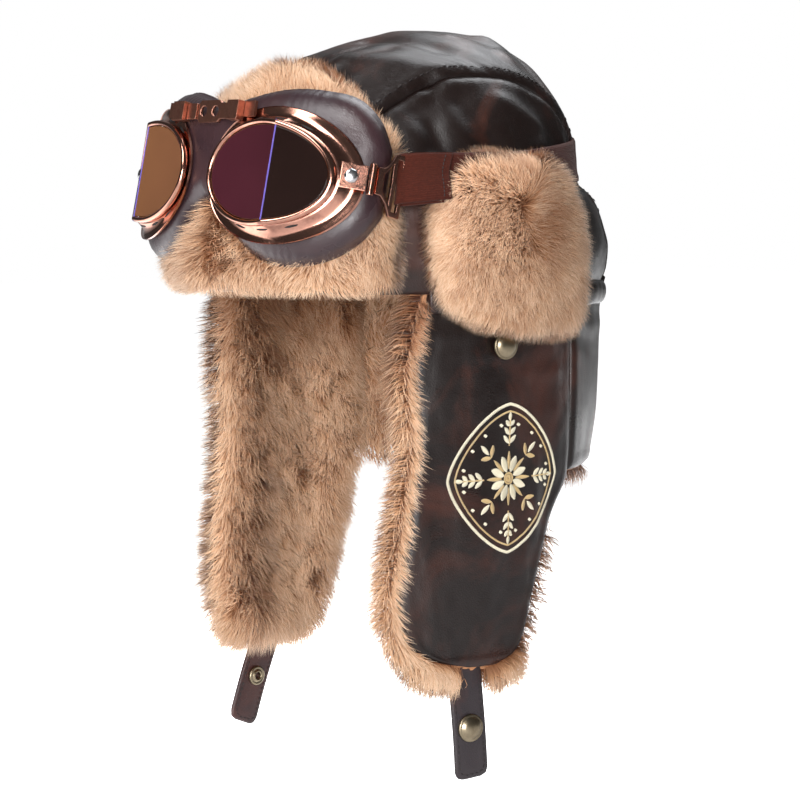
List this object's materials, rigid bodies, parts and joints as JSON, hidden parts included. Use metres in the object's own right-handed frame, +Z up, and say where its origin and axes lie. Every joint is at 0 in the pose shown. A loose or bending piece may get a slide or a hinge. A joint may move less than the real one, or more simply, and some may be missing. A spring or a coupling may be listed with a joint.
{
  "type": "leather flying helmet with goggles",
  "caption": "Leather cap with fur-lined hanging ear and neck flaps, a turned-up fur visor and flying goggles on an elastic strap.",
  "frame": {"origin": "middle of the head opening, at the height of the crown's lower edge, where a head carries the hat", "axes": "+Z up, -Y the way the wearer faces, +X the wearer's left"},
  "size_m": [0.23, 0.2492, 0.3743],
  "materials": {
    "leather": "worn near-black brown, soft gloss",
    "fur": "deep pile fur, tan with cream tips",
    "cushion_leather": "purple-brown padded leather",
    "antique_copper": "tarnished copper plating",
    "steel": "polished",
    "antique_brass": "aged",
    "elastic": "woven rust brown elastic",
    "tinted_glass": "dark purple-brown tint"
  },
  "bodies": {
    "root": {"crown_centre": "leather", "crown_side_left": "leather", "crown_side_right": "leather", "crown_hem_band": "leather", "ear_flap_left": "leather", "ear_flap_right": "leather", "neck_flap": "leather", "chin_strap_left": "leather", "chin_strap_right": "leather", "flap_lining_left": "fur", "flap_lining_right": "fur", "neck_lining": "fur", "fur_visor": "fur", "ear_patch_left": "fur", "ear_patch_right": "fur", "goggle_cushion": "cushion_leather", "eyecup_left": "antique_copper", "eyecup_right": "antique_copper", "lens_rim_left": "antique_copper", "lens_rim_right": "antique_copper", "bridge_link": "antique_copper", "bridge_wing_left": "antique_copper", "bridge_wing_right": "antique_copper", "bridge_plate_left": "antique_copper", "bridge_plate_right": "antique_copper", "bridge_clamp_left": "antique_copper", "bridge_clamp_right": "antique_copper", "hinge_plate_left": "antique_copper", "hinge_plate_right": "antique_copper", "hinge_pin_left": "antique_copper", "hinge_pin_right": "antique_copper", "strap_buckle_left": "antique_copper", "strap_buckle_right": "antique_copper", "hinge_rivet_left": "steel", "hinge_rivet_right": "steel", "flap_snap_left": "antique_brass", "flap_snap_right": "antique_brass", "chin_snap_cap_left": "antique_brass", "chin_snap_cap_right": "antique_brass", "chin_snap_socket_left": "antique_brass", "chin_snap_socket_right": "antique_brass", "goggle_strap": "elastic", "lens_inner_left": "tinted_glass", "lens_inner_right": "tinted_glass", "lens_outer_left": "tinted_glass", "lens_outer_right": "tinted_glass"}
  },
  "joints": []
}
